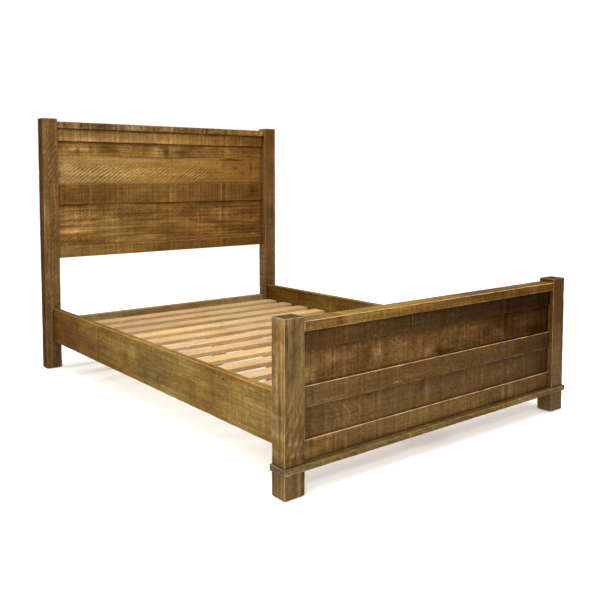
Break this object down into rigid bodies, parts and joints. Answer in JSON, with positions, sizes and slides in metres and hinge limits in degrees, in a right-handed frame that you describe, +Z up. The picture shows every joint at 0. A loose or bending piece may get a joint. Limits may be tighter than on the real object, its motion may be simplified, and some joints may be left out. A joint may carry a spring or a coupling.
{
  "type": "wooden bed frame",
  "caption": "Queen-size bed frame in rough-sawn stained wood: tall panelled headboard, low panelled footboard, hooked side rails and a slatted base on a centre beam.",
  "frame": {"origin": "on the floor, under the middle of the bed's overall length and width", "axes": "+X to the right seen from the foot end, +Y from the footboard to the headboard, +Z up"},
  "size_m": [1.705, 2.221, 1.442],
  "materials": {
    "post_wood": "rough-sawn pine, brown stain, worn light edges",
    "rail_wood": "rough-sawn pine, mid brown stain",
    "panel_wood": "rough-sawn pine boards, honey to brown stain with saw marks",
    "side_rail_wood": "smoother sawn pine, olive honey stain",
    "band_wood": "thin pine strip, lighter worn stain",
    "slat_wood": "planed bare pine",
    "base_wood": "planed bare pine",
    "zinc_steel": "zinc-plated steel",
    "nylon": "black moulded nylon"
  },
  "bodies": {
    "bed": {"band_brads_long": "zinc_steel", "band_brads_short": "zinc_steel", "band_front": "band_wood", "band_return_left": "band_wood", "band_return_right": "band_wood", "beam_bracket_foot": "zinc_steel", "beam_bracket_head": "zinc_steel", "bracket_screws": "zinc_steel", "centre_beam": "base_wood", "centre_leg_1": "base_wood", "centre_leg_2": "base_wood", "centre_leg_3": "base_wood", "foot_inserts": "zinc_steel", "foot_post_left": "post_wood", "foot_post_right": "post_wood", "footboard_bottom_rail": "rail_wood", "footboard_cap": "rail_wood", "footboard_lower_panel": "panel_wood", "footboard_middle_rail": "rail_wood", "footboard_top_rail": "rail_wood", "footboard_upper_panel": "panel_wood", "head_post_left": "post_wood", "head_post_right": "post_wood", "headboard_beam_rail": "rail_wood", "headboard_bottom_rail": "rail_wood", "headboard_cap": "rail_wood", "headboard_centre_board": "panel_wood", "headboard_lower_board_a": "panel_wood", "headboard_lower_board_b": "panel_wood", "headboard_middle_rail": "rail_wood", "headboard_top_rail": "rail_wood", "headboard_upper_board": "panel_wood", "ledger_left": "base_wood", "ledger_right": "base_wood", "ledger_screws": "zinc_steel", "leg_bolt_nuts": "zinc_steel", "leg_bolts": "zinc_steel", "plate_screws": "zinc_steel", "post_glides": "nylon", "post_slot_plates": "zinc_steel", "rail_hook_plates": "zinc_steel", "side_rail_left": "side_rail_wood", "side_rail_right": "side_rail_wood", "slat_01": "slat_wood", "slat_02": "slat_wood", "slat_03": "slat_wood", "slat_04": "slat_wood", "slat_05": "slat_wood", "slat_06": "slat_wood", "slat_07": "slat_wood", "slat_08": "slat_wood", "slat_09": "slat_wood", "slat_10": "slat_wood", "slat_11": "slat_wood", "slat_12": "slat_wood", "slat_13": "slat_wood", "slat_screws": "zinc_steel"},
    "foot_1": {"screw_foot_1": "zinc_steel"},
    "foot_2": {"screw_foot_2": "zinc_steel"},
    "foot_3": {"screw_foot_3": "zinc_steel"}
  },
  "joints": [
    {"name": "foot_1_height", "type": "slide", "parent": "bed", "child": "foot_1", "axis": [0, 0, -1], "range_m": [-0.006, 0.02]},
    {"name": "foot_2_height", "type": "slide", "parent": "bed", "child": "foot_2", "axis": [0, 0, -1], "range_m": [-0.006, 0.02]},
    {"name": "foot_3_height", "type": "slide", "parent": "bed", "child": "foot_3", "axis": [0, 0, -1], "range_m": [-0.006, 0.02]}
  ]
}
